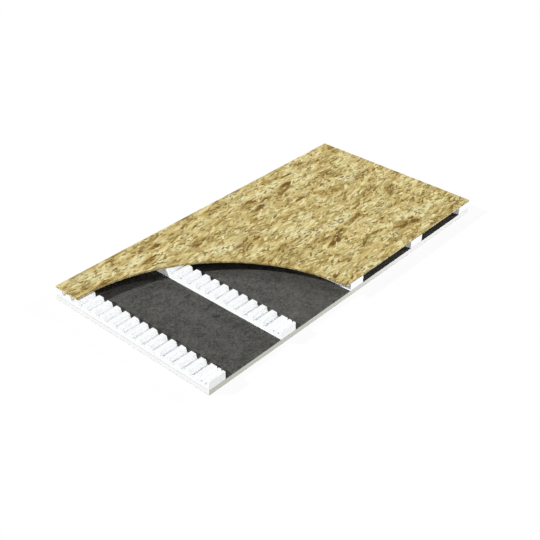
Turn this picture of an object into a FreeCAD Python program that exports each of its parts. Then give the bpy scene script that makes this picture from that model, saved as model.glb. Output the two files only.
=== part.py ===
import FreeCAD, Part
import Sketcher
import math
import os

# Ventilated roof insulation board, in millimetres.
# X runs along the sheet's length and Y across its width. Z is up, and the origin is at the middle of the underside.
# The corner with the curved cut-away is at the low X and low Y end.

# Size of the sheet
SHEET_LENGTH = 2438.4
SHEET_WIDTH = 1219.2

# Foam board with a facer on both faces
BOARD_THICKNESS = 31.75
FACER_THICKNESS = 1.0

# Spacer strips
STRIP_COUNT = 5
STRIP_WIDTH = 119.0
STRIP_HEIGHT = 50.8
PLAIN_END = 44.0
GROOVE_COUNT = 16
GROOVE_DEPTH = 25.4
RIB_FLAT = 32.2
FLOOR_FLAT = 23.0
RIB_ROUND = 2.0
FLOOR_ROUND = 3.0

# Narrow grooves beside the strip's near end
SLOT_COUNT = 2
SLOT_WIDTH = 12.0
SLOT_DEPTH = 22.8
SLOT_FIRST = 22.5
SLOT_SPACING = 30.5

# Strand board panel and its curved cut-away
PANEL_THICKNESS = 11.1
KEPT_SHORT_EDGE = 186.4
KEPT_LONG_EDGE = 1320.3
CUT_RADIUS = 1094.0

VALUES = {
    "sheet_length": SHEET_LENGTH,
    "sheet_width": SHEET_WIDTH,
    "board_thickness": BOARD_THICKNESS,
    "facer_thickness": FACER_THICKNESS,
    "strip_count": STRIP_COUNT,
    "strip_width": STRIP_WIDTH,
    "strip_height": STRIP_HEIGHT,
    "plain_end": PLAIN_END,
    "groove_count": GROOVE_COUNT,
    "groove_depth": GROOVE_DEPTH,
    "rib_flat": RIB_FLAT,
    "floor_flat": FLOOR_FLAT,
    "rib_round": RIB_ROUND,
    "floor_round": FLOOR_ROUND,
    "slot_count": SLOT_COUNT,
    "slot_width": SLOT_WIDTH,
    "slot_depth": SLOT_DEPTH,
    "slot_first": SLOT_FIRST,
    "slot_spacing": SLOT_SPACING,
    "panel_thickness": PANEL_THICKNESS,
    "kept_short_edge": KEPT_SHORT_EDGE,
    "kept_long_edge": KEPT_LONG_EDGE,
    "cut_radius": CUT_RADIUS,
}

# Point positions on a sketch line or arc
START = 1
END = 2
CENTRE = 3

# Distance from one wide groove to the next, from the sizes
PITCH = "(sizes.sheet_width - sizes.plain_end) / sizes.groove_count"

# How far a cutting shape stands out above the face that it cuts
CUT_ABOVE = 2.0


def vec(x, y):
    return FreeCAD.Vector(x, y, 0)


def make_sizes(doc):
    sizes = doc.addObject("Spreadsheet::Sheet", "sizes")
    sizes.Label = "sizes"
    row = 1
    for name, value in VALUES.items():
        sizes.set("A%d" % row, name)
        sizes.set("B%d" % row, str(value))
        sizes.setAlias("B%d" % row, name)
        row += 1
    return sizes


def make_body(doc, name):
    body = doc.addObject("PartDesign::Body", name)
    body.Label = name
    return body


def make_sketch(body, name, role):
    sketch = body.newObject("Sketcher::SketchObject", name)
    plane = [f for f in body.Origin.OriginFeatures if f.Role == role][0]
    sketch.AttachmentSupport = [(plane, "")]
    sketch.MapMode = "FlatFace"
    return sketch


def size_by(sketch, index, name, expression):
    sketch.renameConstraint(index, name)
    sketch.setExpression("Constraints." + name, expression)


def join(sketch, first, second):
    sketch.addConstraint(Sketcher.Constraint("Coincident", first, END, second, START))


def add_rectangle(sketch, width, height):
    """A rectangle centred on the sketch's origin; its two sizes are the last two constraints."""
    left = -width / 2
    low = -height / 2
    corners = [vec(left, low), vec(-left, low), vec(-left, -low), vec(left, -low)]
    for k in range(4):
        sketch.addGeometry(Part.LineSegment(corners[k], corners[(k + 1) % 4]), False)
    for k in range(4):
        join(sketch, k, (k + 1) % 4)
    for k in (0, 2):
        sketch.addConstraint(Sketcher.Constraint("Horizontal", k))
    for k in (1, 3):
        sketch.addConstraint(Sketcher.Constraint("Vertical", k))
    sketch.addConstraint(Sketcher.Constraint("Symmetric", 0, START, 1, END, -1, START))
    across = sketch.addConstraint(Sketcher.Constraint("DistanceX", 0, START, 0, END, width))
    upward = sketch.addConstraint(Sketcher.Constraint("DistanceY", 1, START, 1, END, height))
    return across, upward


def make_sheet(doc, name, thickness, thickness_expression, height_expression):
    """A full-size flat sheet whose underside is at the height given."""
    body = make_body(doc, name)
    outline = make_sketch(body, name + "_outline", "XY_Plane")
    across, upward = add_rectangle(outline, SHEET_LENGTH, SHEET_WIDTH)
    size_by(outline, across, "length", "sizes.sheet_length")
    size_by(outline, upward, "width", "sizes.sheet_width")
    pad = body.newObject("PartDesign::Pad", name + "_pad")
    pad.Profile = outline
    pad.Length = thickness
    pad.setExpression("Length", thickness_expression)
    body.Tip = pad
    body.setExpression("Placement.Base.z", height_expression)
    return body


def groove_points():
    """Corner points of one wide groove, about its own middle: the mouth's arc, the slope and the floor's arc."""
    pitch = (SHEET_WIDTH - PLAIN_END) / GROOVE_COUNT
    mouth = (pitch - RIB_FLAT) / 2
    top = STRIP_HEIGHT
    floor = STRIP_HEIGHT - GROOVE_DEPTH
    upper = vec(mouth, top - RIB_ROUND)
    lower = vec(FLOOR_FLAT / 2, floor + FLOOR_ROUND)
    span = upper.sub(lower)
    lean = math.asin((RIB_ROUND + FLOOR_ROUND) / span.Length)
    heading = math.atan2(span.y, span.x) + lean
    normal = vec(math.sin(heading), -math.cos(heading))
    out_at = upper.sub(vec(normal.x * RIB_ROUND, normal.y * RIB_ROUND))
    in_at = lower.add(vec(normal.x * FLOOR_ROUND, normal.y * FLOOR_ROUND))
    return mouth, top, floor, upper, lower, out_at, in_at, heading


def draw_groove(sketch, middle):
    """One wide groove of the strip, with rounded rib corners and a rounded floor."""
    mouth, top, floor, upper, lower, out_at, in_at, heading = groove_points()
    half_floor = FLOOR_FLAT / 2
    above = top + CUT_ABOVE
    turn = heading + math.pi / 2

    def at(point, side):
        return vec(middle + side * point.x, point.y)

    def arc(centre, radius, side, first, second):
        if side < 0:
            first, second = math.pi - second, math.pi - first
        circle = Part.Circle(at(centre, side), vec(0, 0).add(FreeCAD.Vector(0, 0, 1)), radius)
        return Part.ArcOfCircle(circle, first, second)

    right_wall = Part.LineSegment(vec(middle + mouth, top), vec(middle + mouth, above))
    right_mouth = arc(upper, RIB_ROUND, 1, math.pi / 2, turn)
    right_slope = Part.LineSegment(at(in_at, 1), at(out_at, 1))
    right_floor = arc(lower, FLOOR_ROUND, 1, -math.pi / 2, turn - math.pi)
    flat = Part.LineSegment(vec(middle - half_floor, floor), vec(middle + half_floor, floor))
    left_floor = arc(lower, FLOOR_ROUND, -1, -math.pi / 2, turn - math.pi)
    left_slope = Part.LineSegment(at(out_at, -1), at(in_at, -1))
    left_mouth = arc(upper, RIB_ROUND, -1, math.pi / 2, turn)
    left_wall = Part.LineSegment(vec(middle - mouth, above), vec(middle - mouth, top))
    cover = Part.LineSegment(vec(middle + mouth, above), vec(middle - mouth, above))
    shapes = [right_wall, right_mouth, right_slope, right_floor, flat]
    shapes += [left_floor, left_slope, left_mouth, left_wall, cover]
    for shape in shapes:
        sketch.addGeometry(shape, False)

    # The outline runs flat 4, right floor 3, right slope 2, right mouth 1, right wall 0, cover 9, left side back.
    add = sketch.addConstraint
    add(Sketcher.Constraint("Tangent", 4, END, 3, START))
    add(Sketcher.Constraint("Tangent", 3, END, 2, START))
    add(Sketcher.Constraint("Tangent", 2, END, 1, END))
    add(Sketcher.Constraint("Coincident", 1, START, 0, START))
    add(Sketcher.Constraint("Coincident", 0, END, 9, START))
    add(Sketcher.Constraint("Coincident", 9, END, 8, START))
    add(Sketcher.Constraint("Coincident", 8, END, 7, END))
    add(Sketcher.Constraint("Tangent", 7, START, 6, START))
    add(Sketcher.Constraint("Tangent", 6, END, 5, START))
    add(Sketcher.Constraint("Tangent", 5, END, 4, START))
    add(Sketcher.Constraint("Horizontal", 4))
    add(Sketcher.Constraint("Horizontal", 9))
    add(Sketcher.Constraint("Vertical", 0))
    add(Sketcher.Constraint("Vertical", 8))
    add(Sketcher.Constraint("Vertical", 1, CENTRE, 1, START))
    add(Sketcher.Constraint("Vertical", 7, CENTRE, 7, END))
    add(Sketcher.Constraint("Equal", 1, 7))
    add(Sketcher.Constraint("Equal", 3, 5))
    add(Sketcher.Constraint("Horizontal", 1, START, 7, END))
    number = add(Sketcher.Constraint("Radius", 1, RIB_ROUND))
    size_by(sketch, number, "rib_round", "sizes.rib_round")
    number = add(Sketcher.Constraint("Radius", 3, FLOOR_ROUND))
    size_by(sketch, number, "floor_round", "sizes.floor_round")
    number = add(Sketcher.Constraint("DistanceX", 4, START, 4, END, FLOOR_FLAT))
    size_by(sketch, number, "floor_flat", "sizes.floor_flat")
    number = add(Sketcher.Constraint("DistanceX", 7, END, 1, START, 2 * mouth))
    size_by(sketch, number, "mouth", PITCH + " - sizes.rib_flat")
    number = add(Sketcher.Constraint("DistanceY", 4, START, 7, END, GROOVE_DEPTH))
    size_by(sketch, number, "depth", "sizes.groove_depth")
    number = add(Sketcher.Constraint("DistanceY", -1, START, 7, END, top))
    size_by(sketch, number, "height", "sizes.strip_height")
    number = add(Sketcher.Constraint("DistanceX", -1, START, 7, END, middle - mouth))
    size_by(sketch, number, "place", "sizes.plain_end + (" + PITCH + " + sizes.rib_flat) / 2")
    number = add(Sketcher.Constraint("DistanceX", 4, START, 1, START, half_floor * 2 + mouth - half_floor))
    size_by(sketch, number, "even", "(" + PITCH + " - sizes.rib_flat + sizes.floor_flat) / 2")
    add(Sketcher.Constraint("DistanceY", 0, START, 0, END, CUT_ABOVE))


def draw_slot(sketch, middle):
    """One narrow groove with a half-round bottom."""
    half = SLOT_WIDTH / 2
    low = STRIP_HEIGHT - SLOT_DEPTH + half
    above = STRIP_HEIGHT + CUT_ABOVE
    circle = Part.Circle(vec(middle, low), FreeCAD.Vector(0, 0, 1), half)
    sketch.addGeometry(Part.ArcOfCircle(circle, math.pi, 2 * math.pi), False)
    sketch.addGeometry(Part.LineSegment(vec(middle + half, low), vec(middle + half, above)), False)
    sketch.addGeometry(Part.LineSegment(vec(middle + half, above), vec(middle - half, above)), False)
    sketch.addGeometry(Part.LineSegment(vec(middle - half, above), vec(middle - half, low)), False)
    add = sketch.addConstraint
    add(Sketcher.Constraint("Tangent", 0, END, 1, START))
    add(Sketcher.Constraint("Coincident", 1, END, 2, START))
    add(Sketcher.Constraint("Coincident", 2, END, 3, START))
    add(Sketcher.Constraint("Tangent", 3, END, 0, START))
    add(Sketcher.Constraint("Vertical", 1))
    add(Sketcher.Constraint("Vertical", 3))
    add(Sketcher.Constraint("Horizontal", 2))
    number = add(Sketcher.Constraint("DistanceX", 2, END, 2, START, SLOT_WIDTH))
    size_by(sketch, number, "slot_width", "sizes.slot_width")
    number = add(Sketcher.Constraint("DistanceX", -1, START, 0, CENTRE, middle))
    size_by(sketch, number, "slot_place", "sizes.slot_first")
    number = add(Sketcher.Constraint("DistanceY", -1, START, 0, CENTRE, low))
    size_by(sketch, number, "slot_low", "sizes.strip_height - sizes.slot_depth + sizes.slot_width / 2")
    number = add(Sketcher.Constraint("DistanceY", -1, START, 2, START, above))
    size_by(sketch, number, "slot_high", "sizes.strip_height + 2")


def cut_through(body, name, sketch, count, count_expression, spacing, spacing_expression):
    """Cuts the sketch through the strip from front to back, and repeats the cut along the strip."""
    pocket = body.newObject("PartDesign::Pocket", name)
    pocket.Profile = sketch
    pocket.Type = "ThroughAll"
    pocket.Midplane = True
    pattern = body.newObject("PartDesign::LinearPattern", name + "s")
    pattern.Originals = [pocket]
    pattern.Direction = (sketch, ["H_Axis"])
    pattern.Mode = "Spacing"
    pattern.Offset = spacing
    pattern.setExpression("Offset", spacing_expression)
    pattern.Occurrences = count
    pattern.setExpression("Occurrences", count_expression)
    body.Tip = pattern
    return pattern


def make_strip(doc, number):
    """One spacer strip: a block with ribs, wide grooves and two narrow grooves, running across the sheet."""
    name = "spacer_strip_%d" % number
    body = make_body(doc, name)
    outline = make_sketch(body, name + "_outline", "XZ_Plane")
    across, upward = add_rectangle(outline, STRIP_WIDTH, STRIP_HEIGHT)
    size_by(outline, across, "width", "sizes.strip_width")
    size_by(outline, upward, "height", "sizes.strip_height")
    outline.AttachmentOffset = FreeCAD.Placement(FreeCAD.Vector(0, STRIP_HEIGHT / 2, 0), FreeCAD.Rotation())
    outline.setExpression("AttachmentOffset.Base.y", "sizes.strip_height / 2")
    block = body.newObject("PartDesign::Pad", name + "_block")
    block.Profile = outline
    block.Reversed = True
    block.Length = SHEET_WIDTH
    block.setExpression("Length", "sizes.sheet_width")

    pitch = (SHEET_WIDTH - PLAIN_END) / GROOVE_COUNT
    groove = make_sketch(body, name + "_groove", "YZ_Plane")
    draw_groove(groove, PLAIN_END + pitch)
    cut_through(body, name + "_groove_cut", groove, GROOVE_COUNT, "sizes.groove_count", pitch, PITCH)

    slot = make_sketch(body, name + "_slot", "YZ_Plane")
    draw_slot(slot, SLOT_FIRST)
    cut_through(body, name + "_slot_cut", slot, SLOT_COUNT, "sizes.slot_count", SLOT_SPACING, "sizes.slot_spacing")

    # The first and last strips are flush with the sheet's ends, and the others are evenly spaced on the sheet.
    if number == 1:
        place = "(sizes.strip_width - sizes.sheet_length) / 2"
    elif number == STRIP_COUNT:
        place = "(sizes.sheet_length - sizes.strip_width) / 2"
    else:
        place = "sizes.sheet_length * (%d / (sizes.strip_count - 1) - 0.5)" % (number - 1)
    body.setExpression("Placement.Base.x", place)
    body.setExpression("Placement.Base.y", "-sizes.sheet_width / 2")
    body.setExpression("Placement.Base.z", "sizes.board_thickness")
    return body


def make_panel(doc):
    """The strand board panel, with the near corner cut away on a large radius."""
    height = "sizes.board_thickness + sizes.strip_height"
    body = make_sheet(doc, "osb_panel", PANEL_THICKNESS, "sizes.panel_thickness", height)
    cut = make_sketch(body, "osb_panel_cut", "XY_Plane")

    # The cut's circle passes through the end of what is kept of the short edge and of the long edge.
    first = vec(-SHEET_LENGTH / 2, SHEET_WIDTH / 2 - KEPT_SHORT_EDGE)
    last = vec(SHEET_LENGTH / 2 - KEPT_LONG_EDGE, -SHEET_WIDTH / 2)
    chord = last.sub(first)
    rise = math.sqrt(CUT_RADIUS ** 2 - (chord.Length / 2) ** 2) / chord.Length
    centre = vec((first.x + last.x) / 2 + chord.y * rise, (first.y + last.y) / 2 - chord.x * rise)
    cut.addGeometry(Part.Circle(centre, FreeCAD.Vector(0, 0, 1), CUT_RADIUS), False)
    cut.addGeometry(Part.Point(first), True)
    cut.addGeometry(Part.Point(last), True)
    add = cut.addConstraint
    for point in (1, 2):
        add(Sketcher.Constraint("PointOnObject", point, START, 0))
    number = add(Sketcher.Constraint("Radius", 0, CUT_RADIUS))
    size_by(cut, number, "cut_radius", "sizes.cut_radius")
    number = add(Sketcher.Constraint("DistanceX", 1, START, -1, START, -first.x))
    size_by(cut, number, "first_x", "sizes.sheet_length / 2")
    number = add(Sketcher.Constraint("DistanceY", -1, START, 1, START, first.y))
    size_by(cut, number, "first_y", "sizes.sheet_width / 2 - sizes.kept_short_edge")
    number = add(Sketcher.Constraint("DistanceX", 2, START, -1, START, -last.x))
    size_by(cut, number, "last_x", "sizes.kept_long_edge - sizes.sheet_length / 2")
    number = add(Sketcher.Constraint("DistanceY", 2, START, -1, START, -last.y))
    size_by(cut, number, "last_y", "sizes.sheet_width / 2")
    pocket = body.newObject("PartDesign::Pocket", "osb_panel_cutaway")
    pocket.Profile = cut
    pocket.Type = "ThroughAll"
    pocket.Midplane = True
    body.Tip = pocket
    return body


def check(doc, bodies):
    for item in doc.Objects:
        if "Invalid" in item.State or "Error" in item.State:
            raise RuntimeError("%s is not valid: %s" % (item.Name, item.State))
    for body in bodies:
        if body.Shape.isNull() or not body.Shape.isValid() or body.Shape.Volume <= 0:
            raise RuntimeError("%s has no valid shape" % body.Label)
        if len(body.Shape.Solids) != 1:
            raise RuntimeError("%s is not one solid" % body.Label)


def main():
    doc = FreeCAD.newDocument("roof_board")
    make_sizes(doc)
    doc.recompute()
    bodies = []
    bodies.append(make_sheet(doc, "bottom_facer", FACER_THICKNESS, "sizes.facer_thickness", "0 mm"))
    core = BOARD_THICKNESS - 2 * FACER_THICKNESS
    core_expression = "sizes.board_thickness - 2 * sizes.facer_thickness"
    bodies.append(make_sheet(doc, "foam_core", core, core_expression, "sizes.facer_thickness"))
    top_height = "sizes.board_thickness - sizes.facer_thickness"
    bodies.append(make_sheet(doc, "top_facer", FACER_THICKNESS, "sizes.facer_thickness", top_height))
    for number in range(1, STRIP_COUNT + 1):
        bodies.append(make_strip(doc, number))
    bodies.append(make_panel(doc))
    doc.recompute()
    check(doc, bodies)
    os.makedirs("parts", exist_ok=True)
    for body in bodies:
        body.Shape.exportStep("parts/%s.step" % body.Label)
        box = body.Shape.BoundBox
        print("%s volume %.0f mm3, z %.2f to %.2f" % (body.Label, body.Shape.Volume, box.ZMin, box.ZMax))


main()
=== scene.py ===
import math

import bmesh
import bpy
from bpy.props import FloatProperty, FloatVectorProperty, IntProperty, PointerProperty
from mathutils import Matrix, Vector, noise


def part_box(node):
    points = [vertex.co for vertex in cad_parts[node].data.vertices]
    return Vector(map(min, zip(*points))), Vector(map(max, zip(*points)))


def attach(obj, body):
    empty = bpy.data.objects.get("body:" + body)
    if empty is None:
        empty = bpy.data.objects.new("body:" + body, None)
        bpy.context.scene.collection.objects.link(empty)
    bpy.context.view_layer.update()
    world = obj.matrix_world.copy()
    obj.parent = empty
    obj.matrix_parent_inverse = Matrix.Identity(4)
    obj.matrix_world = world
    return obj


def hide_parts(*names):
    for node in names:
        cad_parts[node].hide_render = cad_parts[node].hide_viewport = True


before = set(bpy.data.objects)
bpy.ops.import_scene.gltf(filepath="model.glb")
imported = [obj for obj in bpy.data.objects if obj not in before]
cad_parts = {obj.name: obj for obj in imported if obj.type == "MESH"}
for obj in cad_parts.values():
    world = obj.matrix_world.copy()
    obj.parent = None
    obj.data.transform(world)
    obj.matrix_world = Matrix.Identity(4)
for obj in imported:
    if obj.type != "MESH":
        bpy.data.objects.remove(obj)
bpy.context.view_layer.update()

bl_info = {
    "name": "Ventilated roof board",
    "version": (1, 0, 0),
    "blender": (4, 5, 0),
    "location": "3D View > Sidebar > Roof board",
    "description": "Dresses a faced foam board with ribbed spacer strips and a cut-back strand board panel",
    "category": "Add Mesh",
}

PANEL_LOW, PANEL_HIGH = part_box("osb_panel")
STRIP_COUNT = 5
STRIP_LOW, STRIP_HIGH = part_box("spacer_strip_1")
# The near and far faces of the second strip
STRIP_PLACES = [corner[0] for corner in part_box("spacer_strip_2")]
GROOVE_DEPTH = 0.0254
# The two narrow grooves: distance from the strip's near end, and depth, in metres
NARROW_PLACES = (0.0225, 0.053)
NARROW_DEPTH = 0.0228
# Marks on the panel and on the facer are placed from here
CUT_CORNER = (PANEL_LOW[0], PANEL_LOW[1], 0.0)

# The camera's place in metres and its turn in degrees, solved from the photo's straight edges
CAMERA_PLACE = (-3.6758, -3.1476, 3.1622)
CAMERA_TURN = (55.753, -0.589, -48.486)
SENSOR_WIDTH = 36.0
CAMERA_REACH = 100.0

WHITE = (1.0, 1.0, 1.0, 1.0)
SKY_TINT = (0.97, 0.985, 1.0, 1.0)
# Half the floor's side, and how far it lies below the board so that the two don't touch
FLOOR_HALF = 30.0
FLOOR_DROP = 0.0006

# Each lamp: name, the setting for its strength, where its light comes from, softness in degrees, and shadow.
# The fill is level with the board and casts no shadow, so it lifts upright faces alone.
LAMPS = (
    ("key_light", "key_strength", (-0.055, 0.0545, 0.0508), 1.2, True),
    ("side_light", "side_strength", (0.102, -0.047, 0.0508), 1.4, True),
    ("back_light", "back_strength", (0.006, 0.100, 0.0508), 6.0, True),
    ("front_fill", "fill_strength", (-0.333, -0.943, 0.02), 1.0, False),
)


# Node helpers

def new_material(name):
    """An empty node material with a Principled shader, and its node tree and shader."""
    mat = bpy.data.materials.new(name)
    mat.use_nodes = True
    tree = mat.node_tree
    tree.nodes.clear()
    out = tree.nodes.new("ShaderNodeOutputMaterial")
    shader = tree.nodes.new("ShaderNodeBsdfPrincipled")
    tree.links.new(shader.outputs["BSDF"], out.inputs["Surface"])
    return mat, tree, shader


def put(tree, socket, value):
    """Links a socket to another, or sets its constant."""
    if isinstance(value, bpy.types.NodeSocket):
        tree.links.new(value, socket)
    else:
        socket.default_value = value


def finish_shader(tree, shader, colour, roughness, specular, normal):
    """Gives a Principled shader its colour, roughness, specular level and bump."""
    put(tree, shader.inputs["Base Color"], colour)
    put(tree, shader.inputs["Roughness"], roughness)
    shader.inputs["Specular IOR Level"].default_value = specular
    put(tree, shader.inputs["Normal"], normal)


def math_node(tree, kind, first, second=0.0, third=0.0):
    """The result of one sum on values or sockets."""
    node = tree.nodes.new("ShaderNodeMath")
    node.operation = kind
    put(tree, node.inputs[0], first)
    put(tree, node.inputs[1], second)
    put(tree, node.inputs[2], third)
    return node.outputs[0]


def product(tree, first, *others):
    """Several values multiplied together."""
    for other in others:
        first = math_node(tree, "MULTIPLY", first, other)
    return first


def under(tree, value, limit):
    """1 where a value is under a limit, and 0 elsewhere."""
    return math_node(tree, "LESS_THAN", value, limit)


def over(tree, value, limit):
    """1 where a value is over a limit, and 0 elsewhere."""
    return math_node(tree, "GREATER_THAN", value, limit)


def size_of(tree, value):
    """A value without its sign."""
    return math_node(tree, "ABSOLUTE", value)


def higher(tree, first, second):
    """The higher of two values, or the second where there is no first yet."""
    return second if first is None else math_node(tree, "MAXIMUM", first, second)


def swing(tree, value, amount, base):
    """Adds a noise's swing about its middle, times an amount, to a base."""
    return math_node(tree, "MULTIPLY_ADD", math_node(tree, "SUBTRACT", value, 0.5), amount, base)


def vector_node(tree, kind, first, second=(0.0, 0.0, 0.0)):
    """The result of one sum on vectors, or a vector's length."""
    node = tree.nodes.new("ShaderNodeVectorMath")
    node.operation = kind
    put(tree, node.inputs[0], first)
    put(tree, node.inputs[1], second)
    return node.outputs["Value" if kind == "LENGTH" else "Vector"]


def map_range(tree, value, low, high, to_low=0.0, to_high=1.0, smooth=False):
    """A value between low and high, taken to the range between to_low and to_high and held there."""
    node = tree.nodes.new("ShaderNodeMapRange")
    node.interpolation_type = "SMOOTHSTEP" if smooth else "LINEAR"
    put(tree, node.inputs["Value"], value)
    put(tree, node.inputs["From Min"], low)
    put(tree, node.inputs["From Max"], high)
    put(tree, node.inputs["To Min"], to_low)
    put(tree, node.inputs["To Max"], to_high)
    return node.outputs["Result"]


def mix_value(tree, factor, first, second):
    """A value between two others."""
    node = tree.nodes.new("ShaderNodeMix")
    put(tree, node.inputs["Factor"], factor)
    put(tree, node.inputs["A"], first)
    put(tree, node.inputs["B"], second)
    return node.outputs["Result"]


def mix_colour(tree, factor, first, second, blend="MIX"):
    """A colour between two others, or one blended into the other."""
    node = tree.nodes.new("ShaderNodeMix")
    node.data_type = "RGBA"
    node.blend_type = blend
    put(tree, node.inputs["Factor"], factor)
    put(tree, node.inputs["A"], first)
    put(tree, node.inputs["B"], second)
    return node.outputs["Result"]


def ramp(tree, value, stops):
    """A colour ramp whose stops are (position, linear colour)."""
    node = tree.nodes.new("ShaderNodeValToRGB")
    while len(node.color_ramp.elements) < len(stops):
        node.color_ramp.elements.new(0.5)
    for element, (place, colour) in zip(node.color_ramp.elements, stops):
        element.position = place
        element.color = (*colour, 1.0)
    put(tree, node.inputs["Fac"], value)
    return node.outputs["Color"]


def noise_texture(tree, vector, scale, detail=2.0, rough=0.5, flat=False):
    """A noise texture's outputs; a flat one varies over a plane alone."""
    node = tree.nodes.new("ShaderNodeTexNoise")
    node.noise_dimensions = "2D" if flat else "3D"
    put(tree, node.inputs["Vector"], vector)
    node.inputs["Scale"].default_value = scale
    node.inputs["Detail"].default_value = detail
    node.inputs["Roughness"].default_value = rough
    return node.outputs


def noise_node(tree, vector, scale, detail=2.0, rough=0.5, flat=False):
    """A noise texture's value."""
    return noise_texture(tree, vector, scale, detail, rough, flat)["Fac"]


def cells(tree, vector, scale, feature="F1", randomness=1.0, flat=False):
    """A cell texture's outputs."""
    node = tree.nodes.new("ShaderNodeTexVoronoi")
    node.feature = feature
    node.voronoi_dimensions = "2D" if flat else "3D"
    put(tree, node.inputs["Vector"], vector)
    node.inputs["Scale"].default_value = scale
    node.inputs["Randomness"].default_value = randomness
    return node.outputs


def rotate_z(tree, vector, angle):
    """A vector turned about the upright axis."""
    node = tree.nodes.new("ShaderNodeVectorRotate")
    node.rotation_type = "Z_AXIS"
    put(tree, node.inputs["Vector"], vector)
    put(tree, node.inputs["Angle"], angle)
    return node.outputs[0]


def combine(tree, x, y, z):
    """A vector from its three parts."""
    node = tree.nodes.new("ShaderNodeCombineXYZ")
    for socket, value in zip(node.inputs, (x, y, z)):
        put(tree, socket, value)
    return node.outputs[0]


def split(tree, vector):
    """A vector's three parts."""
    node = tree.nodes.new("ShaderNodeSeparateXYZ")
    put(tree, node.inputs[0], vector)
    return node.outputs


def separate(tree, colour):
    """A colour's three parts."""
    node = tree.nodes.new("ShaderNodeSeparateColor")
    put(tree, node.inputs[0], colour)
    return node.outputs


def place_on(tree):
    """Position on the piece, in metres."""
    return tree.nodes.new("ShaderNodeTexCoord").outputs["Object"]


def facing(tree):
    """The three parts of the direction that the surface faces."""
    geometry = tree.nodes.new("ShaderNodeNewGeometry")
    return split(tree, geometry.outputs["True Normal"])


def toned(tree, colour, tone):
    """A colour made brighter or duller by a tone."""
    grey = tree.nodes.new("ShaderNodeCombineColor")
    for part in ("Red", "Green", "Blue"):
        put(tree, grey.inputs[part], tone)
    return mix_colour(tree, 1.0, grey.outputs[0], colour, "MULTIPLY")


def bump(tree, height, distance, strength):
    """A normal that follows a height."""
    node = tree.nodes.new("ShaderNodeBump")
    node.inputs["Strength"].default_value = strength
    node.inputs["Distance"].default_value = distance
    put(tree, node.inputs["Height"], height)
    return node.outputs["Normal"]


def marks(tree, place, wanted, soft):
    """How much of a group of marks shows at a place, from 0 to 1."""
    total = None
    for x, y, half_long, half_wide, turn in wanted:
        off = vector_node(tree, "SUBTRACT", place, (x, y, 0.0))
        off = rotate_z(tree, off, math.radians(-turn))
        off = vector_node(tree, "MULTIPLY", off, (1.0 / half_long, 1.0 / half_wide, 0.0))
        reach = vector_node(tree, "LENGTH", off)
        one = map_range(tree, reach, 1.0 - soft, 1.0 + soft, 1.0, 0.0, smooth=True)
        total = higher(tree, total, one)
    return total


# Strand board pattern

LAYER_INPUTS = ("Turn", "Spread", "Length", "Width", "Long Part", "Wide Part", "Share", "Seed")
LAYER_OUTPUTS = ("Tone", "Hue", "Height", "Cover", "Shade")

# Each layer, lowest first: turn in degrees from the board's length, how far single strands stray from it,
# spacing along and across in metres, the strand's half length and half width as parts of those, and its share
STRAND_LAYERS = (
    (4.0, 40.0, 0.095, 0.026, 0.60, 0.62, 1.0),
    (-16.0, 50.0, 0.110, 0.030, 0.50, 0.46, 0.8),
    (22.0, 50.0, 0.100, 0.028, 0.50, 0.44, 0.8),
    (3.0, 34.0, 0.130, 0.034, 0.48, 0.42, 0.8),
    (14.0, 40.0, 0.105, 0.028, 0.46, 0.40, 0.7),
    (-4.0, 44.0, 0.085, 0.026, 0.46, 0.36, 0.6),
    (10.0, 50.0, 0.070, 0.020, 0.46, 0.38, 0.5),
)
FIRST_SEED = 1.3
SEED_STEP = 3.7
# Only this many upper layers stand proud enough to catch the light
PROUD_LAYERS = 3

# Gaps where strands end, made as small dark strands: turn in degrees, spacing along and across in metres,
# and seed
GAP_LAYERS = ((12.0, 0.088, 0.036, 41.3), (-6.0, 0.060, 0.026, 57.9), (4.0, 0.042, 0.024, 73.1))
GAP_SPREAD = 60.0
GAP_PARTS = (0.26, 0.16)

# How far a strand's outline wavers along and across, in metres
STRAND_WAVER = (0.012, 0.006, 0.0)
# The grain inside a strand: changes for each metre along and across it
GRAIN_SCALE = (22.0, 330.0, 0.0)
# Width of a strand's own rim, and of the shade that it throws on the layer below, in metres
RIM_WIDTH = 0.0007
SHADE_WIDTH = 0.0035

# The pattern repeats with the press plate, whose length and width these are, and never repeats upwards
PRESS_PLATE = (1.2192, 0.6096, 10.0)
# Marks that stand out on the panel, in metres within one repeat: x, y, half length, half width, and their
# turn in degrees
BROWN_MARKS = (
    (0.205, 0.338, 0.060, 0.018, 12.0), (0.562, 0.420, 0.052, 0.017, 2.0), (0.300, 0.384, 0.055, 0.009, 12.0),
    (0.656, 0.497, 0.050, 0.014, -4.0), (0.472, 0.218, 0.046, 0.010, -2.0), (0.992, 0.130, 0.042, 0.012, 8.0),
    (0.976, 0.482, 0.034, 0.010, 20.0), (1.144, 0.106, 0.030, 0.011, 15.0), (0.635, 0.296, 0.020, 0.010, 0.0),
)
SOFT_MARKS = (
    (0.680, 0.140, 0.105, 0.046, -10.0), (0.184, 0.424, 0.075, 0.028, 5.0), (0.860, 0.330, 0.060, 0.022, 8.0),
    (0.519, 0.519, 0.044, 0.024, 10.0), (0.030, 0.548, 0.042, 0.026, 0.0), (0.500, 0.405, 0.042, 0.020, 0.0),
    (0.820, 0.550, 0.055, 0.024, 10.0), (1.170, 0.541, 0.058, 0.028, 10.0),
)
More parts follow.
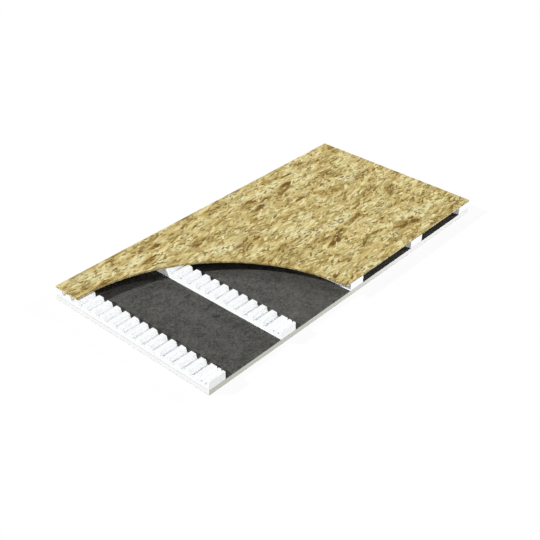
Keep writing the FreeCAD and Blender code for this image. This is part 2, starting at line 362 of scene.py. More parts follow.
PALE_MARKS = (
    (0.470, 0.470, 0.085, 0.034, 8.0), (0.930, 0.165, 0.090, 0.036, -6.0), (0.762, 0.372, 0.062, 0.020, 4.0),
    (0.210, 0.500, 0.090, 0.026, 4.0), (0.543, 0.125, 0.050, 0.024, 8.0), (0.165, 0.572, 0.062, 0.030, 0.0),
    (0.357, 0.459, 0.048, 0.024, 8.0), (0.565, 0.336, 0.045, 0.018, 0.0), (0.140, 0.024, 0.060, 0.024, 0.0),
    (0.861, 0.450, 0.040, 0.024, 0.0), (0.735, 0.203, 0.060, 0.024, -10.0), (0.877, 0.200, 0.054, 0.022, 8.0),
)
# How far a mark's outline strays with the strands that it colours, along and across, in metres
MARK_STRAY = (0.044, 0.012)

BROWN_TINT = (1.0, 0.79, 0.60, 1.0)
SOFT_TINT = (0.92, 0.80, 0.66, 1.0)
PALE_TINT = (0.77, 0.735, 0.42, 1.0)
# Tints of single strands, from greenish to reddish
STRAND_TINTS = (
    (0.0, (0.95, 1.01, 1.05)), (0.35, (0.99, 1.0, 1.0)), (0.6, (1.02, 0.98, 0.98)), (0.85, (1.02, 1.0, 0.86)),
    (1.0, (1.0, 0.92, 0.82)),
)
# A face within this distance of the sheet's outline is one of the mill's own edges
MILL_MARGIN = 0.003


def drawn_from(tree, first, first_step, second, second_step):
    """Another random value from 0 to 1, drawn from two others."""
    total = math_node(tree, "MULTIPLY_ADD", first, first_step, product(tree, second, second_step))
    return math_node(tree, "FRACT", total)


def half_size(tree, spacing, part, draw, least):
    """Half a strand's length or width: part of the spacing, less for small strands, down to a least share."""
    return product(tree, product(tree, spacing, part), map_range(tree, draw, 0.0, 1.0, least, 1.0))


def strand_layer_group():
    """One layer of pressed wood strands, each with its own place, turn, tone, hue, height and grain."""
    tree = bpy.data.node_groups.new("strand layer", "ShaderNodeTree")
    face = tree.interface
    face.new_socket("Place", in_out="INPUT", socket_type="NodeSocketVector")
    for name in LAYER_INPUTS:
        face.new_socket(name, in_out="INPUT", socket_type="NodeSocketFloat")
    for name in LAYER_OUTPUTS:
        face.new_socket(name, in_out="OUTPUT", socket_type="NodeSocketFloat")
    start = tree.nodes.new("NodeGroupInput").outputs
    end = tree.nodes.new("NodeGroupOutput").inputs

    # Each cell holds one strand, with five random values of its own
    waver = noise_texture(tree, start["Place"], 60.0, 3.0, 0.6, flat=True)
    wander = vector_node(tree, "SUBTRACT", waver["Color"], (0.5, 0.5, 0.5))
    wander = vector_node(tree, "MULTIPLY", wander, STRAND_WAVER)
    bent = vector_node(tree, "ADD", start["Place"], wander)
    turned = rotate_z(tree, bent, start["Turn"])
    size = combine(tree, start["Length"], start["Width"], 1.0)
    scaled = vector_node(tree, "DIVIDE", turned, size)
    scaled = vector_node(tree, "ADD", scaled, combine(tree, start["Seed"], start["Seed"], 0.0))
    cell = cells(tree, scaled, 1.0, randomness=0.85, flat=True)
    first, second, third = separate(tree, cell["Color"])
    fourth = drawn_from(tree, first, 37.3, second, 17.9)
    fifth = drawn_from(tree, third, 29.1, first, 11.7)

    # The strand's outline, narrower towards its ends
    off = vector_node(tree, "SUBTRACT", scaled, cell["Position"])
    off = vector_node(tree, "MULTIPLY", off, size)
    own_turn = product(tree, math_node(tree, "SUBTRACT", third, 0.5), start["Spread"])
    off = rotate_z(tree, off, own_turn)
    along, across, _ = split(tree, off)
    half_long = half_size(tree, start["Length"], start["Long Part"], fourth, 0.55)
    half_wide = half_size(tree, start["Width"], start["Wide Part"], second, 0.45)
    run = math_node(tree, "DIVIDE", size_of(tree, along), half_long)
    taper = math_node(tree, "MULTIPLY_ADD", math_node(tree, "POWER", run, 3.0), -0.45, 1.0)
    side = math_node(tree, "SUBTRACT", product(tree, half_wide, taper), size_of(tree, across))
    tip = product(tree, math_node(tree, "SUBTRACT", 1.0, run), half_long)
    rim = math_node(tree, "MINIMUM", side, tip)
    present = under(tree, fifth, start["Share"])
    put(tree, end["Cover"], product(tree, map_range(tree, rim, 0.0, RIM_WIDTH), present))
    put(tree, end["Shade"], product(tree, map_range(tree, rim, -SHADE_WIDTH, 0.0, smooth=True), present))

    # Its grain, tone and height
    own = vector_node(tree, "MULTIPLY", cell["Color"], (7.0, 7.0, 0.0))
    drawn = vector_node(tree, "MULTIPLY", off, GRAIN_SCALE)
    grain = noise_node(tree, vector_node(tree, "ADD", drawn, own), 1.0, 3.0, 0.6, flat=True)
    streak = math_node(tree, "SUBTRACT", grain, 0.5)
    put(tree, end["Tone"], math_node(tree, "MULTIPLY_ADD", streak, 0.38, first))
    put(tree, end["Hue"], second)
    tilt = math_node(tree, "SUBTRACT", fourth, 0.5)
    lean = product(tree, tilt, math_node(tree, "DIVIDE", across, half_wide))
    level = math_node(tree, "MULTIPLY_ADD", third, 0.6, lean)
    put(tree, end["Height"], math_node(tree, "MULTIPLY_ADD", streak, 0.25, level))
    return tree


def lay_strands(tree, group, place, turn, spread, *values):
    """One layer's outputs, from its turn and spread in degrees and the rest of its inputs."""
    node = tree.nodes.new("ShaderNodeGroup")
    node.node_tree = group
    put(tree, node.inputs["Place"], place)
    for name, value in zip(LAYER_INPUTS, (math.radians(-turn), math.radians(spread), *values)):
        put(tree, node.inputs[name], value)
    return node.outputs


def pressed_layers(tree, props, group, here):
    """Tone, hue and height of all the layers, the upper ones over the lower ones."""
    tone = hue = None
    height = 0.0
    for number, (turn, spread, length, width, *parts) in enumerate(STRAND_LAYERS):
        spacing = (length * props.strand_scale, width * props.strand_scale)
        seed = SEED_STEP * number + FIRST_SEED
        out = lay_strands(tree, group, here, turn, spread, *spacing, *parts, seed)
        seen = out["Cover"]
        if tone is None:
            tone = math_node(tree, "ADD", out["Tone"], map_range(tree, seen, 0.0, 1.0, -0.30, 0.0))
            hue = out["Hue"]
            continue
        shaded = math_node(tree, "MULTIPLY_ADD", out["Shade"], -0.20, tone)
        tone = mix_value(tree, seen, shaded, out["Tone"])
        hue = mix_value(tree, seen, hue, out["Hue"])
        if number >= len(STRAND_LAYERS) - PROUD_LAYERS:
            height = mix_value(tree, seen, height, math_node(tree, "ADD", out["Height"], 0.25))
    return tone, hue, height


def pressed_marks(tree, here, tone, hue):
    """How brown, softly dark and pale the press plate's marks make a place."""
    # Marks follow the strands' own edges, because each strand takes its colour from a place nearby
    along, across = MARK_STRAY
    nudge = combine(tree, math_node(tree, "MULTIPLY_ADD", tone, along, -along / 2),
                    math_node(tree, "MULTIPLY_ADD", hue, across, -across / 2), 0.0)
    local = vector_node(tree, "SUBTRACT", vector_node(tree, "ADD", here, nudge), CUT_CORNER)
    plate = vector_node(tree, "MODULO", local, PRESS_PLATE)
    brown = marks(tree, plate, BROWN_MARKS, 0.45)
    soft = marks(tree, plate, SOFT_MARKS, 0.55)
    pale = marks(tree, plate, PALE_MARKS, 0.5)
    return brown, soft, pale


def marked_tone(tree, here, tone, brown, soft, pale):
    """The strands' tone with broad patches, fine grit and the marks."""
    drawn = vector_node(tree, "MULTIPLY", rotate_z(tree, here, math.radians(-9.0)), (5.0, 13.0, 1.0))
    patch = noise_node(tree, drawn, 1.0, 3.0, 0.62)
    tone = swing(tree, patch, map_range(tree, brown, 0.0, 1.0, 2.0, 0.4), tone)
    tone = swing(tree, noise_node(tree, here, 90.0, 3.0, 0.6), 0.18, tone)
    tone = math_node(tree, "MULTIPLY_ADD", brown, -0.80, tone)
    # No strand inside a brown mark stays pale
    tone = math_node(tree, "MINIMUM", tone, map_range(tree, brown, 0.3, 0.85, 1.3, -0.10))
    tone = math_node(tree, "MULTIPLY_ADD", soft, -0.34, tone)
    return math_node(tree, "MULTIPLY_ADD", pale, 0.36, tone)


def strand_colour(tree, props, tone, hue, brown, soft, pale):
    """The strands' colour from their tone and hue, tinted in the marks."""
    light = ramp(tree, map_range(tree, tone, -0.43, 0.96), (
        (0.06, props.dark_colour), (0.375, props.brown_colour), (0.58, props.mid_colour),
        (0.84, props.light_colour), (1.0, props.pale_colour)))
    colour = mix_colour(tree, 1.0, light, ramp(tree, hue, STRAND_TINTS), "MULTIPLY")
    colour = mix_colour(tree, product(tree, brown, 0.8), colour, BROWN_TINT, "MULTIPLY")
    colour = mix_colour(tree, product(tree, soft, 0.5), colour, SOFT_TINT, "MULTIPLY")
    return mix_colour(tree, product(tree, pale, 0.40), colour, PALE_TINT)


def add_gaps(tree, props, group, here, colour, pale):
    """Small dark gaps where strands end, more of them in some places than in others."""
    cluster = map_range(tree, noise_node(tree, here, 9.0), 0.42, 0.64, 0.05, 0.50)
    cluster = higher(tree, cluster, product(tree, pale, 0.8))
    for turn, length, width, seed in GAP_LAYERS:
        out = lay_strands(tree, group, here, turn, GAP_SPREAD, length, width, *GAP_PARTS, cluster, seed)
        gap = product(tree, out["Shade"], map_range(tree, out["Tone"], 0.1, 0.8, 0.30, 0.92))
        colour = mix_colour(tree, gap, colour, (*props.gap_colour, 1.0))
    return colour


def end_grain(tree, here):
    """The pressed layers and torn strands that an edge face shows."""
    layers = noise_node(tree, vector_node(tree, "MULTIPLY", here, (55.0, 55.0, 620.0)), 1.0, 3.0, 0.6)
    streaks = noise_node(tree, vector_node(tree, "MULTIPLY", here, (70.0, 70.0, 50.0)), 1.0, 4.0, 0.7)
    return swing(tree, layers, 1.1, swing(tree, streaks, 1.9, 0.5))


def edge_colour(tree, props, here, grain):
    """The colour of the panel's edge faces: the newly sawn cut, darkened by painted shade, and the mill's own
    edges, the short ones with painted light.
    """
    stops = ((0.12, props.dark_colour), (0.42, props.brown_colour), (0.58, props.mid_colour),
             (0.85, props.pale_colour))
    # Painted shade darkens the cut edge's colours
    shaded_cut_stops = [(place, [part * props.cut_shade_level for part in colour]) for place, colour in stops]
    cut = ramp(tree, grain, shaded_cut_stops)
    mill = ramp(tree, grain, ((0.24, props.dark_colour), (0.5, props.edge_colour), (0.80, props.pale_colour)))
    x, y, _ = split(tree, here)
    short_edge = over(tree, size_of(tree, x), PANEL_HIGH[0] - MILL_MARGIN)
    long_edge = over(tree, size_of(tree, y), PANEL_HIGH[1] - MILL_MARGIN)
    # Painted light: the short edges are made the brighter ones
    level = math_node(tree, "MULTIPLY_ADD", short_edge, 0.20, 1.0)
    mill = mix_colour(tree, 1.0, mill, combine(tree, level, level, level), "MULTIPLY")
    return mix_colour(tree, higher(tree, short_edge, long_edge), cut, mill)


def strand_material(props):
    """Raw strand board: strands mostly along its length, dark gaps, brown and pale marks, layered edges."""
    mat, tree, shader = new_material("strand_board")
    group = strand_layer_group()
    here = place_on(tree)
    tone, hue, height = pressed_layers(tree, props, group, here)
    brown, soft, pale = pressed_marks(tree, here, tone, hue)
    tone = marked_tone(tree, here, tone, brown, soft, pale)
    colour = strand_colour(tree, props, tone, hue, brown, soft, pale)
    colour = add_gaps(tree, props, group, here, colour, pale)

    edge = under(tree, size_of(tree, facing(tree)[2]), 0.5)
    grain = end_grain(tree, here)
    colour = mix_colour(tree, edge, colour, edge_colour(tree, props, here, grain))
    height = mix_value(tree, edge, height, product(tree, grain, 1.5))
    roughness = map_range(tree, tone, 0.0, 1.0, 0.76, 0.60)
    finish_shader(tree, shader, colour, roughness, 0.25, bump(tree, height, 0.0011, 0.75))
    return mat


# Strand board panel

# Spacing of the points along the panel's straight edges, in metres
EDGE_STEP = 0.009
# Heights of the edge's inner rows of points, as shares of the thickness
EDGE_ROWS = (0.2, 0.4, 0.62, 0.82)
# Changes of the ragged edge for each metre along and across the sheet, and upwards
RAGGED_SCALE = (85, 85, 300)
# A point this near a line, in metres, lies on it: the cut's arc, and the straight edges
ON_ARC = 0.001
ON_EDGE = 1e-5


def panel_outline(bm, props):
    """Draws the panel's outline on its underside, and gives the middle of the cut-away corner's arc."""
    x0, y0, z0 = PANEL_LOW
    x1, y1, _ = PANEL_HIGH
    centre = Vector((x0 + props.cut_inset, y0 - props.cut_outset, z0))
    radius = props.cut_radius
    first = Vector((x0, centre.y + math.sqrt(radius ** 2 - (x0 - centre.x) ** 2), z0))
    last = Vector((centre.x + math.sqrt(radius ** 2 - (y0 - centre.y) ** 2), y0, z0))
    sweep = (first - centre).xy.angle_signed((last - centre).xy)
    vert = bm.verts.new(first)
    bmesh.ops.spin(bm, geom=[vert], cent=centre, axis=(0, 0, 1), angle=-sweep, steps=props.cut_steps)
    ends = [v for v in bm.verts if len(v.link_edges) == 1]
    ends.sort(key=lambda v: (v.co - last).length)
    corners = [bm.verts.new((x1, y0, z0)), bm.verts.new((x1, y1, z0)), bm.verts.new((x0, y1, z0))]
    chain = [ends[0], *corners, ends[1]]
    straight = [bm.edges.new(pair) for pair in zip(chain, chain[1:])]
    for edge in straight:
        cuts = max(1, round(edge.calc_length() / EDGE_STEP))
        bmesh.ops.subdivide_edges(bm, edges=[edge], cuts=cuts)
    return centre


def roughen(vert, props, centre):
    """Moves a point of the panel's edge by a small step, out from the cut or in from a straight edge."""
    out = Vector(vert.co - centre)
    out.z = 0
    spot = Vector([part * scale for part, scale in zip(vert.co, RAGGED_SCALE)])
    step = 0.5 + 0.5 * noise.noise(spot)
    if abs(out.length - props.cut_radius) < ON_ARC:
        vert.co += out.normalized() * (step * props.cut_roughness)
        vert.co.x = max(vert.co.x, PANEL_LOW[0])
        vert.co.y = max(vert.co.y, PANEL_LOW[1])
        return
    step *= props.sawn_roughness
    for axis, near_share in ((0, props.near_raggedness), (1, 1.0)):
        if vert.co[axis] < PANEL_LOW[axis] + ON_EDGE:
            vert.co[axis] += step * near_share
        elif vert.co[axis] > PANEL_HIGH[axis] - ON_EDGE:
            vert.co[axis] -= step


def make_panel_mesh(props):
    """The panel: its outline extruded, with rows of points up its edge that make it slightly ragged."""
    bm = bmesh.new()
    centre = panel_outline(bm, props)
    bmesh.ops.contextual_create(bm, geom=bm.edges[:])
    thickness = PANEL_HIGH[2] - PANEL_LOW[2]
    grown = bmesh.ops.extrude_face_region(bm, geom=bm.faces[:])
    lifted = [v for v in grown["geom"] if isinstance(v, bmesh.types.BMVert)]
    bmesh.ops.translate(bm, verts=lifted, vec=(0, 0, thickness))
    for share in EDGE_ROWS:
        row = Vector((0, 0, PANEL_LOW[2] + share * thickness))
        everything = bm.verts[:] + bm.edges[:] + bm.faces[:]
        bmesh.ops.bisect_plane(bm, geom=everything, plane_co=row, plane_no=(0, 0, 1))
    bmesh.ops.recalc_face_normals(bm, faces=bm.faces[:])
    for vert in bm.verts:
        roughen(vert, props, centre)
    mesh = bpy.data.meshes.new("strand_board")
    bm.to_mesh(mesh)
    bm.free()
    return mesh


# White bead foam

# The margin that keeps the walls' painted shade off a strip's two ends, in metres
END_MARGIN = 0.002
# Half the width of the band that a narrow groove takes up, and the height of the painted shade at its foot,
# in metres
NARROW_HALF = 0.0075
FOOT_SHADE_HEIGHT = 0.007
# A place this near a face, in metres, lies on it
ON_FACE = 0.0005


def painted_groove_shade(tree, props, here):
    """Painted shade: the share of its brightness that the foam keeps, less on the grooves' walls, least at
    their feet.
    """
    face_x, face_y, _ = facing(tree)
    x, y, z = split(tree, here)
    inner = under(tree, size_of(tree, y), STRIP_HIGH[1] - END_MARGIN)
    narrow = None
    for place in NARROW_PLACES:
        aside = size_of(tree, math_node(tree, "SUBTRACT", y, STRIP_LOW[1] + place))
        narrow = higher(tree, narrow, under(tree, aside, NARROW_HALF))
    wide_alone = math_node(tree, "MULTIPLY_ADD", narrow, -0.85, 1.0)
    wall = product(tree, over(tree, size_of(tree, face_y), 0.5), inner, wide_alone)
    top = STRIP_HIGH[2]
    painted_wall_shade = map_range(tree, z, top - GROOVE_DEPTH, top, props.shaded_foot_level - 1.0, props.shaded_mouth_level - 1.0)
    unshaded_share = math_node(tree, "MULTIPLY_ADD", wall, painted_wall_shade, 1.0)

    # Painted shade at the narrow grooves' feet, which shows as grey spots
    foot = product(tree, narrow, under(tree, z, top - NARROW_DEPTH + FOOT_SHADE_HEIGHT),
                   over(tree, z, top - NARROW_DEPTH - ON_FACE), under(tree, size_of(tree, face_x), 0.5))
    unshaded_share = math_node(tree, "MULTIPLY_ADD", foot, -0.36, unshaded_share)

    # Painted shade: the strips' near ends are duller towards the cut-away corner
    near_end = under(tree, y, STRIP_LOW[1] + ON_FACE)
    along = map_range(tree, x, PANEL_LOW[0], 0.1 * PANEL_LOW[0], -0.19, 0.02)
    return math_node(tree, "MULTIPLY_ADD", near_end, along, unshaded_share)


def bead_material(props):
    """Moulded bead foam: packed round beads with fine seams, nearly white, with painted shade in the grooves
    and on the strips' near ends.
    """
    mat, tree, shader = new_material("bead_foam")
    here = place_on(tree)
    bead = cells(tree, here, 1.0 / props.bead_size)
    seam = cells(tree, here, 1.0 / props.bead_size, "DISTANCE_TO_EDGE")
    own = separate(tree, bead["Color"])[0]
    dome = map_range(tree, seam["Distance"], 0.0, 0.22, 0.0, 1.0, smooth=True)
    cloud = noise_node(tree, here, 14.0, 3.0)
    tone = swing(tree, cloud, 0.03, math_node(tree, "MULTIPLY_ADD", own, 0.03, 0.97))
    tone = product(tree, tone, map_range(tree, dome, 0.0, 1.0, 0.965, 1.0))
    colour = toned(tree, (*props.colour, 1.0), tone)
    # Painted shade in the grooves and on the strips' near ends darkens the colour
    unshaded_share = painted_groove_shade(tree, props, here)
    colour = mix_colour(tree, 1.0, colour, combine(tree, unshaded_share, unshaded_share, unshaded_share), "MULTIPLY")
    finish_shader(tree, shader, colour, 0.55, 0.35, bump(tree, dome, 0.0004, 0.6))
    return mat


# Facers

# The tangle's three runs of fibres: turn in degrees, changes for each metre across them, and seed
FIBRE_RUNS = ((18.0, 500.0, 0.0), (77.0, 430.0, 3.1), (-42.0, 460.0, 7.7))
# Changes for each metre along a fibre
FIBRE_ALONG = 45.0
# Painted shadows of the second strip's ribs: short soft dark spots in the upper facer, in metres from the
# cut-away corner:
# x, y, half length, half width, and turn in degrees
RIB_SHADOW_SPOTS = (
    (0.470, 0.790, 0.020, 0.012, 10.0), (0.488, 0.655, 0.022, 0.010, -5.0), (0.462, 0.580, 0.018, 0.011, 0.0),
    (0.478, 0.492, 0.024, 0.011, 5.0), (0.468, 0.400, 0.026, 0.010, -8.0), (0.455, 0.265, 0.018, 0.010, 0.0),
    (0.430, 0.872, 0.030, 0.013, 12.0),
)


def facer_material(props):
    """Charcoal fibre mat: a tangle of fine fibres with soft mottling, a few painted shadow spots of the
    second strip's ribs, and painted light beyond that strip.
    """
    mat, tree, shader = new_material("fibre_facer")
    here = place_on(tree)
    fibre = None
    for turn, across, seed in FIBRE_RUNS:
        turned = rotate_z(tree, here, math.radians(turn))
        drawn = vector_node(tree, "MULTIPLY", turned, (FIBRE_ALONG, across, 1.0))
        drawn = vector_node(tree, "ADD", drawn, (seed, seed, seed))
        fibre = higher(tree, fibre, noise_node(tree, drawn, 1.0))
    fibre = map_range(tree, fibre, 0.50, 0.78, 0.0, 1.0)
    grit = noise_node(tree, here, 80.0, 5.0, 0.78)
    tone = swing(tree, grit, 4.4, 0.87)
    tone = swing(tree, noise_node(tree, here, 16.0, 4.0, 0.6), 1.5, tone)
    tone = swing(tree, noise_node(tree, here, 3.2), 0.45, tone)
    tone = math_node(tree, "MULTIPLY_ADD", fibre, 0.55, tone)
    tone = swing(tree, noise_node(tree, here, 420.0, 3.0, 0.7), 1.6, tone)
    # Painted light: the facer is a little paler beyond the second strip
    beyond = map_range(tree, split(tree, here)[0], STRIP_PLACES[0], STRIP_PLACES[1], smooth=True)
    tone = math_node(tree, "MULTIPLY_ADD", beyond, 0.17, tone)
    crease = noise_node(tree, vector_node(tree, "MULTIPLY", here, (9.0, 22.0, 1.0)), 1.0, 3.0, 0.6)
    crease = map_range(tree, crease, 0.63, 0.74, 0.0, 0.30, smooth=True)
    tone = math_node(tree, "SUBTRACT", tone, crease)
    nudge = swing(tree, grit, 0.06, 0.0)
    local = vector_node(tree, "ADD", here, combine(tree, nudge, nudge, 0.0))
    local = vector_node(tree, "SUBTRACT", local, CUT_CORNER)
    local = vector_node(tree, "MULTIPLY", local, (1.0, 1.0, 0.0))
    # Painted shadow of the second strip's ribs on the facer
    tone = math_node(tree, "MULTIPLY_ADD", marks(tree, local, RIB_SHADOW_SPOTS, 0.6), -0.42, tone)
    height = math_node(tree, "MULTIPLY_ADD", fibre, 0.6, grit)
    colour = toned(tree, (*props.colour, 1.0), tone)
    finish_shader(tree, shader, colour, 0.82, 0.25, bump(tree, height, 0.0005, 0.6))
    return mat


# Foam core

# How free of painted shade the long edge on the cut-away side is, from 0 to 1, at shares of the sheet's
# length
UNSHADED_STOPS = ((0.0, 0.0), (0.33, 0.11), (0.47, 0.27), (0.60, 0.58), (0.74, 0.97))


def foam_material(props):
    """Sawn closed-cell foam: cream, with fine cells, faint cutting lines, and painted shade on the long edge
    on the cut-away side.
    """
    mat, tree, shader = new_material("foam_core")
    here = place_on(tree)
    fine = noise_node(tree, here, 700.0, 3.0, 0.7)
    drawn = vector_node(tree, "MULTIPLY", here, (3.0, 3.0, 240.0))
    lines = noise_node(tree, drawn, 1.0, 3.0, 0.6)
    tone = swing(tree, fine, 0.16, 1.0)
    tone = swing(tree, lines, 0.10, tone)
    tone = swing(tree, noise_node(tree, here, 9.0, 3.0), 0.08, tone)

    # Painted shade: the long edge on the cut-away side is duller towards the cut-away corner
    run = math_node(tree, "SUBTRACT", split(tree, here)[0], PANEL_LOW[0])
    run = math_node(tree, "DIVIDE", run, PANEL_HIGH[0] - PANEL_LOW[0])
    dull = Vector(props.shaded_edge_colour)
    unshaded_colour = Vector(props.colour)
    edge = ramp(tree, run, [(place, dull.lerp(unshaded_colour, unshaded)) for place, unshaded in UNSHADED_STOPS])
    near_side = under(tree, facing(tree)[1], -0.5)
    base = mix_colour(tree, near_side, (*props.colour, 1.0), edge)
    height = math_node(tree, "MULTIPLY_ADD", lines, 0.5, fine)
    finish_shader(tree, shader, toned(tree, base, tone), 0.8, 0.25, bump(tree, height, 0.0004, 0.5))
    return mat


def wear(node_name, mat):
    """Gives a carried-over solid its material."""
    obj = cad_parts[node_name]
    if not obj.material_slots:
        obj.data.materials.append(mat)
    for slot in obj.material_slots:
        slot.material = mat


# Stage

def seen_directly(tree):
    """1 where the camera sees a surface, itself or in a gloss, and 0 where it only lights others."""
    path = tree.nodes.new("ShaderNodeLightPath").outputs
    seen = math_node(tree, "MAXIMUM", path["Is Camera Ray"], path["Is Glossy Ray"])
    return math_node(tree, "MAXIMUM", seen, path["Is Transmission Ray"])


def mix_shaders(tree, factor, first, second, out):
    """Leads a mix of two shaders to an output."""
    mix = tree.nodes.new("ShaderNodeMixShader")
    put(tree, mix.inputs[0], factor)
    tree.links.new(first.outputs[0], mix.inputs[1])
    tree.links.new(second.outputs[0], mix.inputs[2])
    tree.links.new(mix.outputs[0], out.inputs["Surface"])


def floor_material(props):
    """A white floor that shows as white and keeps a faint shadow of the board."""
    mat = bpy.data.materials.new("studio_floor")
    mat.use_nodes = True
    tree = mat.node_tree
    tree.nodes.clear()
    out = tree.nodes.new("ShaderNodeOutputMaterial")
    matte = tree.nodes.new("ShaderNodeBsdfDiffuse")
    glow = tree.nodes.new("ShaderNodeEmission")
    glow.inputs["Color"].default_value = WHITE
    glow.inputs["Strength"].default_value = 1.0
    seen = seen_directly(tree)
    colour = mix_colour(tree, seen, (*props.bounce_colour, 1.0), (*props.floor_colour, 1.0))
    put(tree, matte.inputs["Color"], colour)
    mix_shaders(tree, product(tree, seen, props.floor_white), matte, glow, out)
    return mat


def add_floor(context, props):
    """A wide floor just below the board."""
    bm = bmesh.new()
    bmesh.ops.create_grid(bm, x_segments=1, y_segments=1, size=FLOOR_HALF)
    bmesh.ops.translate(bm, verts=bm.verts[:], vec=(0, 0, -FLOOR_DROP))
    mesh = bpy.data.meshes.new("studio_floor")
    bm.to_mesh(mesh)
    bm.free()
    floor = bpy.data.objects.new("studio_floor", mesh)
    context.collection.objects.link(floor)
    mesh.materials.append(floor_material(props))


def add_lamp(context, name, strength, towards, softness, shadow):
    """A sun lamp that shines from a direction."""
    lamp = bpy.data.lights.new(name, "SUN")
    lamp.energy = strength
    lamp.angle = math.radians(softness)
    lamp.use_shadow = shadow
    holder = bpy.data.objects.new(name, lamp)
    context.collection.objects.link(holder)
    holder.rotation_euler = Vector(towards).to_track_quat("Z", "Y").to_euler()


def add_sky(context, props):
    """Even light all round, which the camera sees as plain white."""
    world = bpy.data.worlds.new("even_sky")
    context.scene.world = world
    world.use_nodes = True
    tree = world.node_tree
    tree.nodes.clear()
    out = tree.nodes.new("ShaderNodeOutputWorld")
    even = tree.nodes.new("ShaderNodeBackground")
    even.inputs["Color"].default_value = SKY_TINT
    even.inputs["Strength"].default_value = props.sky_strength
    white = tree.nodes.new("ShaderNodeBackground")
    white.inputs["Color"].default_value = WHITE
    mix_shaders(tree, seen_directly(tree), even, white, out)


def add_camera(context, props):
    """The camera, at the photo's place and turn."""
    camera = bpy.data.cameras.new("camera")
    camera.sensor_width = SENSOR_WIDTH
    camera.lens = props.lens
    camera.clip_end = CAMERA_REACH
    holder = bpy.data.objects.new("camera", camera)
    context.collection.objects.link(holder)
    holder.location = CAMERA_PLACE
    holder.rotation_euler = [math.radians(angle) for angle in CAMERA_TURN]
    context.scene.camera = holder


# Settings

class StrandBoardSettings(bpy.types.PropertyGroup):
    cut_radius: FloatProperty(
        name="Cut radius", description="Radius of the cut-away corner", default=1.094, unit="LENGTH")
    cut_inset: FloatProperty(
        name="Cut inset", description="Cut centre's distance inside the short edge", default=0.0258,
        unit="LENGTH")
    cut_outset: FloatProperty(
        name="Cut outset", description="Cut centre's distance outside the long edge", default=0.0609,
        unit="LENGTH")
    cut_steps: IntProperty(
        name="Cut steps", description="Edges along the cut", default=320, min=24)
    cut_roughness: FloatProperty(
        name="Cut roughness", description="How ragged the cut edge is", default=0.0042, unit="LENGTH")
    sawn_roughness: FloatProperty(
        name="Sawn roughness", description="How ragged the straight edges are", default=0.0012, unit="LENGTH")
    near_raggedness: FloatProperty(
        name="Near raggedness", description="How many times as ragged the near short edge is", default=2.6,
        min=0.0)
    strand_scale: FloatProperty(
        name="Strand scale", description="Size of the strands", default=1.0, min=0.2)
    pale_colour: FloatVectorProperty(
        name="Pale strands", description="Colour of the palest strands", default=(0.775, 0.705, 0.395),
        subtype="COLOR")
    light_colour: FloatVectorProperty(
        name="Light strands", description="Colour of the lighter strands", default=(0.65, 0.55, 0.25),
        subtype="COLOR")
    mid_colour: FloatVectorProperty(
        name="Strands", description="Colour of most strands", default=(0.537, 0.43, 0.178), subtype="COLOR")
    brown_colour: FloatVectorProperty(
        name="Brown strands", description="Colour of the brown strands", default=(0.405, 0.302, 0.098),
        subtype="COLOR")
    dark_colour: FloatVectorProperty(
        name="Dark strands", description="Colour of the darkest strands", default=(0.138, 0.083, 0.012),
        subtype="COLOR")
    edge_colour: FloatVectorProperty(
        name="Mill edges", description="Colour of the straight edges", default=(0.47, 0.39, 0.21),
        subtype="COLOR")
    cut_shade_level: FloatProperty(
        name="Cut level", description="Brightness of the cut edge against the face", default=0.52, min=0.0)
    gap_colour: FloatVectorProperty(
        name="Gaps", description="Colour of the gaps between strands", default=(0.16, 0.098, 0.018),
        subtype="COLOR")


class BeadFoamSettings(bpy.types.PropertyGroup):
    bead_size: FloatProperty(
        name="Bead size", description="Size of one foam bead", default=0.0042, unit="LENGTH")
    colour: FloatVectorProperty(
        name="Colour", description="Colour of the bead foam", default=(0.955, 0.968, 0.976), subtype="COLOR")
    shaded_foot_level: FloatProperty(
        name="Foot level", description="Brightness of the grooves' walls at the foot, against the tops",
        default=0.665, min=0.0, max=1.0)
    shaded_mouth_level: FloatProperty(
        name="Mouth level", description="Brightness of the grooves' walls at the mouth, against the tops",
        default=0.745, min=0.0, max=1.0)


class FacerSettings(bpy.types.PropertyGroup):
    colour: FloatVectorProperty(
        name="Colour", description="Colour of the fibre facer", default=(0.063, 0.0615, 0.056),
        subtype="COLOR")


class FoamCoreSettings(bpy.types.PropertyGroup):
    colour: FloatVectorProperty(
        name="Colour", description="Colour of the foam core", default=(0.86, 0.86, 0.85), subtype="COLOR")
    shaded_edge_colour: FloatVectorProperty(
        name="Dull edge", description="Colour of the long edge at its dull end", default=(0.465, 0.477, 0.41),
        subtype="COLOR")


class StageSettings(bpy.types.PropertyGroup):
    floor_colour: FloatVectorProperty(
        name="Floor", description="Colour of the floor", default=(0.98, 0.98, 0.98), subtype="COLOR")
    bounce_colour: FloatVectorProperty(
        name="Bounce", description="Colour of the light that the floor throws back",
        default=(0.12, 0.12, 0.12), subtype="COLOR")
    floor_white: FloatProperty(
        name="Floor white", description="Share of the floor that shows as plain white", default=0.94, min=0.0,
        max=1.0)
    key_strength: FloatProperty(name="Key", description="Strength of the key light", default=3.6)
    side_strength: FloatProperty(name="Side", description="Strength of the side light", default=1.41)
    back_strength: FloatProperty(name="Back", description="Strength of the back light", default=0.6)
    fill_strength: FloatProperty(name="Fill", description="Strength of the front fill light", default=2.55)
    sky_strength: FloatProperty(name="Sky", description="Level of the even light all round", default=0.13)
    lens: FloatProperty(
        name="Lens", description="Focal length of the camera in millimetres", default=62.322)


# Operators

class ROOFBOARD_OT_foam_core(bpy.types.Operator):
    """Finishes the rigid foam core"""
    bl_idname = "roofboard.foam_core"
    bl_label = "Foam core"

    def execute(self, context):
        wear("foam_core", foam_material(context.scene.roofboard_foam))
        return {"FINISHED"}


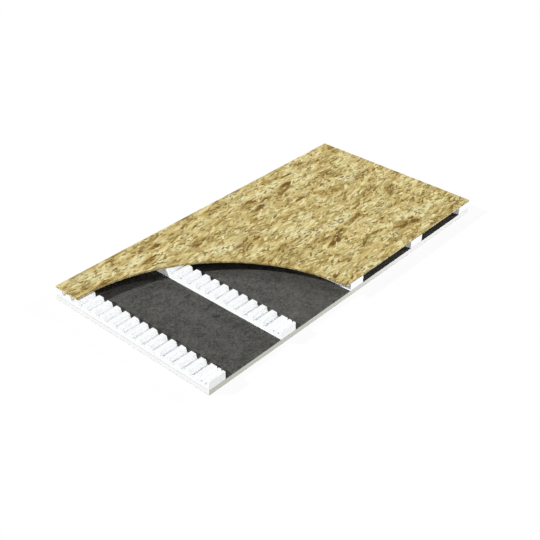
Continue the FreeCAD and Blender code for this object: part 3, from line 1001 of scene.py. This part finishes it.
class ROOFBOARD_OT_facers(bpy.types.Operator):
    """Finishes the charcoal fibre facers"""
    bl_idname = "roofboard.facers"
    bl_label = "Facers"

    def execute(self, context):
        mat = facer_material(context.scene.roofboard_facer)
        for name in ("top_facer", "bottom_facer"):
            wear(name, mat)
        return {"FINISHED"}


class ROOFBOARD_OT_spacer_strips(bpy.types.Operator):
    """Finishes the white bead foam spacer strips"""
    bl_idname = "roofboard.spacer_strips"
    bl_label = "Spacer strips"

    def execute(self, context):
        mat = bead_material(context.scene.roofboard_beads)
        for number in range(1, STRIP_COUNT + 1):
            wear("spacer_strip_%d" % number, mat)
        return {"FINISHED"}


class ROOFBOARD_OT_strand_board(bpy.types.Operator):
    """Makes the strand board panel with its curved cut-away"""
    bl_idname = "roofboard.strand_board"
    bl_label = "Strand board panel"

    def execute(self, context):
        props = context.scene.roofboard_strand
        panel = bpy.data.objects.new("strand_board", make_panel_mesh(props))
        context.collection.objects.link(panel)
        panel.data.materials.append(strand_material(props))
        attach(panel, "root")
        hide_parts("osb_panel")
        return {"FINISHED"}


class ROOFBOARD_OT_stage(bpy.types.Operator):
    """Makes the floor, the lamps, the even sky and the camera"""
    bl_idname = "roofboard.stage"
    bl_label = "Stage"

    def execute(self, context):
        props = context.scene.roofboard_stage
        add_floor(context, props)
        for name, setting, towards, softness, shadow in LAMPS:
            add_lamp(context, name, getattr(props, setting), towards, softness, shadow)
        add_sky(context, props)
        add_camera(context, props)
        context.scene.view_settings.view_transform = "Standard"
        return {"FINISHED"}


# Each section of the sidebar panel: the scene's name for its settings, their class, and its operator
SECTIONS = (
    ("roofboard_foam", FoamCoreSettings, ROOFBOARD_OT_foam_core),
    ("roofboard_facer", FacerSettings, ROOFBOARD_OT_facers),
    ("roofboard_beads", BeadFoamSettings, ROOFBOARD_OT_spacer_strips),
    ("roofboard_strand", StrandBoardSettings, ROOFBOARD_OT_strand_board),
    ("roofboard_stage", StageSettings, ROOFBOARD_OT_stage),
)


class ROOFBOARD_PT_panel(bpy.types.Panel):
    bl_idname = "ROOFBOARD_PT_panel"
    bl_label = "Roof board"
    bl_space_type = "VIEW_3D"
    bl_region_type = "UI"
    bl_category = "Roof board"

    def draw(self, context):
        for name, group, operator in SECTIONS:
            box = self.layout.box()
            settings = getattr(context.scene, name)
            for setting in group.__annotations__:
                box.prop(settings, setting)
            box.operator(operator.bl_idname)


def register():
    for name, group, operator in SECTIONS:
        bpy.utils.register_class(group)
        setattr(bpy.types.Scene, name, PointerProperty(type=group))
        bpy.utils.register_class(operator)
    bpy.utils.register_class(ROOFBOARD_PT_panel)


def unregister():
    bpy.utils.unregister_class(ROOFBOARD_PT_panel)
    for name, group, operator in reversed(SECTIONS):
        bpy.utils.unregister_class(operator)
        delattr(bpy.types.Scene, name)
        bpy.utils.unregister_class(group)


def main():
    register()
    bpy.ops.roofboard.foam_core()
    bpy.ops.roofboard.facers()
    bpy.ops.roofboard.spacer_strips()
    bpy.ops.roofboard.strand_board()
    bpy.ops.roofboard.stage()


if __name__ == "__main__":
    main()
